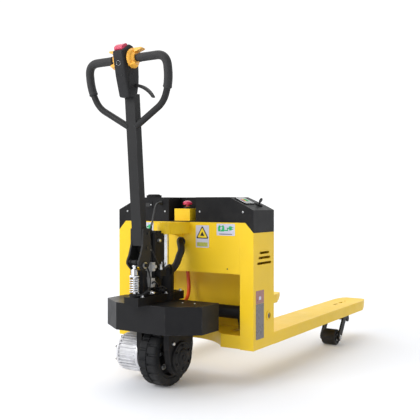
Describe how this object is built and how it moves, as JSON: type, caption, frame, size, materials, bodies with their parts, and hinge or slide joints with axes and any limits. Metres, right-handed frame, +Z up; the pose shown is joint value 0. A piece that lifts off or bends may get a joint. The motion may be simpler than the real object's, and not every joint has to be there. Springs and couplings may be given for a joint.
{
  "type": "electric pallet truck",
  "caption": "Walk-behind pallet truck with two lifting forks, a steered drive wheel, a battery body and a tilting tiller with a looped handle.",
  "frame": {"origin": "centre of the bounding box in plan, on the floor under the wheels", "axes": "+Z up, +Y along the forks toward their tips, -Y toward the operator and the tiller, +X to the right when looking from the tiller toward the fork tips"},
  "size_m": [0.69, 1.746, 1.331],
  "materials": {
    "yellow_paint": "gloss",
    "black_paint": "satin",
    "black_plastic": "grained",
    "rubber": "matte",
    "chrome": "polished",
    "steel": "machined",
    "aluminium": "cast",
    "red_plastic": "gloss",
    "orange_plastic": "satin",
    "cable_orange": "satin",
    "grey_cast": "cast",
    "battery_case": "matte",
    "polyurethane": "matte"
  },
  "bodies": {
    "chassis": {"side_box_right": "yellow_paint", "side_box_left": "yellow_paint", "fork_right": "yellow_paint", "fork_left": "yellow_paint", "battery_right": "battery_case", "battery_left": "battery_case", "front_panel": "yellow_paint", "battery_tray": "yellow_paint", "back_plate": "yellow_paint", "base_plate": "yellow_paint", "top_cover": "black_plastic", "battery_meter": "black_plastic", "key_switch": "chrome", "charging_socket": "black_plastic", "motor_controller": "aluminium", "charger": "grey_cast", "ram_bracket": "yellow_paint", "ram_rod": "chrome", "estop_box": "yellow_paint", "conduit": "rubber", "signal_cable": "rubber", "motor_cable": "cable_orange"},
    "estop_knob": {"estop_button": "red_plastic"},
    "key_blade": {"key": "steel"},
    "rocker": {"rocker_arm": "black_paint"},
    "push_rod_r": {"push_rod_right": "black_paint"},
    "push_rod_l": {"push_rod_left": "black_paint"},
    "load_frame_r": {"load_frame_right": "black_paint"},
    "load_frame_l": {"load_frame_left": "black_paint"},
    "load_wheel_r": {"load_roller_right": "polyurethane"},
    "load_wheel_l": {"load_roller_left": "polyurethane"},
    "carriage": {"carriage_ring": "steel"},
    "drive_unit": {"thrust_bearing": "steel", "guard": "black_paint", "wheel_fork": "black_paint", "drive_axle": "steel", "gearbox_cover": "black_paint", "drive_motor": "aluminium", "pump_body": "black_paint", "lift_cylinder": "black_paint", "valve_block": "black_paint", "fittings": "grey_cast", "catch": "grey_cast", "tiller_pin": "steel", "plunger_spring": "chrome"},
    "drive_wheel": {"drive_tyre": "rubber", "drive_hub": "steel"},
    "pump_plunger": {"plunger": "chrome"},
    "tiller": {"tiller_tube": "black_paint", "tiller_base": "black_paint", "handle_loop": "black_paint", "grip_right": "rubber", "grip_left": "rubber", "head_housing": "black_plastic"},
    "throttles": {"throttle_right": "orange_plastic", "throttle_left": "orange_plastic"},
    "belly_switch": {"belly_button": "red_plastic"},
    "horn_switch": {"horn_button": "grey_cast"},
    "lower_lever": {"hand_lever": "black_paint"}
  },
  "joints": [
    {"name": "lift", "type": "slide", "parent": "chassis", "child": "carriage", "axis": [0, 0, 1], "range_m": [0, 0.105], "deforming": ["conduit", "signal_cable", "motor_cable"]},
    {"name": "steer", "type": "hinge", "parent": "carriage", "child": "drive_unit", "pos_m": [0, -0.578, 0.3], "axis": [0, 0, 1], "range_deg": [-50, 50]},
    {"name": "drive_wheel_spin", "type": "hinge", "parent": "drive_unit", "child": "drive_wheel", "pos_m": [0, -0.578, 0.125], "axis": [1, 0, 0], "continuous": true},
    {"name": "rocker_turn", "type": "hinge", "parent": "chassis", "child": "rocker", "pos_m": [0, -0.322, 0.276], "axis": [1, 0, 0], "range_deg": [-21, 0]},
    {"name": "push_rod_slide_r", "type": "slide", "parent": "chassis", "child": "push_rod_r", "axis": [0, 1, 0], "range_m": [-0.038, 0]},
    {"name": "load_frame_swing_r", "type": "hinge", "parent": "chassis", "child": "load_frame_r", "pos_m": [0.2625, 0.622, 0.165], "axis": [1, 0, 0], "range_deg": [-46, 0]},
    {"name": "load_wheel_spin_r", "type": "hinge", "parent": "load_frame_r", "child": "load_wheel_r", "pos_m": [0.2625, 0.527, 0.04], "axis": [1, 0, 0], "continuous": true},
    {"name": "push_rod_slide_l", "type": "slide", "parent": "chassis", "child": "push_rod_l", "axis": [0, 1, 0], "range_m": [-0.038, 0]},
    {"name": "load_frame_swing_l", "type": "hinge", "parent": "chassis", "child": "load_frame_l", "pos_m": [-0.2625, 0.622, 0.165], "axis": [1, 0, 0], "range_deg": [-46, 0]},
    {"name": "load_wheel_spin_l", "type": "hinge", "parent": "load_frame_l", "child": "load_wheel_l", "pos_m": [-0.2625, 0.527, 0.04], "axis": [1, 0, 0], "continuous": true},
    {"name": "tiller_tilt", "type": "hinge", "parent": "drive_unit", "child": "tiller", "pos_m": [0, -0.751, 0.5], "axis": [1, 0, 0], "range_deg": [0, 78], "stiffness_Nm_per_rad": 60, "springref_deg": -20.05},
    {"name": "plunger_stroke", "type": "slide", "parent": "drive_unit", "child": "pump_plunger", "axis": [0, 0, -1], "range_m": [0, 0.0315], "deforming": ["plunger_spring"]},
    {"name": "throttle_turn", "type": "hinge", "parent": "tiller", "child": "throttles", "pos_m": [0, -0.8187, 1.277], "axis": [1, 0, 0], "range_deg": [-20, 20], "stiffness_Nm_per_rad": 0.4},
    {"name": "belly_button_press", "type": "slide", "parent": "tiller", "child": "belly_switch", "axis": [0, 0.5588, -0.8293], "range_m": [0, 0.005], "stiffness_N_per_m": 400, "springref_m": -0.002},
    {"name": "horn_press", "type": "slide", "parent": "tiller", "child": "horn_switch", "axis": [0, 0.9816, 0.1908], "range_m": [0, 0.002], "stiffness_N_per_m": 800, "springref_m": -0.002},
    {"name": "lower_lever_pull", "type": "hinge", "parent": "tiller", "child": "lower_lever", "pos_m": [0.022, -0.791, 1.18], "axis": [0, -1, 0], "range_deg": [0, 14], "stiffness_Nm_per_rad": 2},
    {"name": "estop_press", "type": "slide", "parent": "chassis", "child": "estop_knob", "axis": [0, 0, -1], "range_m": [0, 0.006], "stiffness_N_per_m": 800, "springref_m": -0.003},
    {"name": "key_turn", "type": "hinge", "parent": "chassis", "child": "key_blade", "pos_m": [0.3, -0.331, 0.72938], "axis": [0.4325, 0, 0.9016], "range_deg": [0, 70]}
  ],
  "couplings": [
    {"joint": "rocker_turn", "follows": "lift", "rad_per_m": -3.4408},
    {"joint": "push_rod_slide_r", "follows": "lift", "ratio": -0.3562},
    {"joint": "load_frame_swing_r", "follows": "lift", "rad_per_m": -7.563},
    {"joint": "push_rod_slide_l", "follows": "lift", "ratio": -0.3562},
    {"joint": "load_frame_swing_l", "follows": "lift", "rad_per_m": -7.563},
    {"joint": "plunger_stroke", "follows": "tiller_tilt", "m_per_rad": 0.02277}
  ]
}
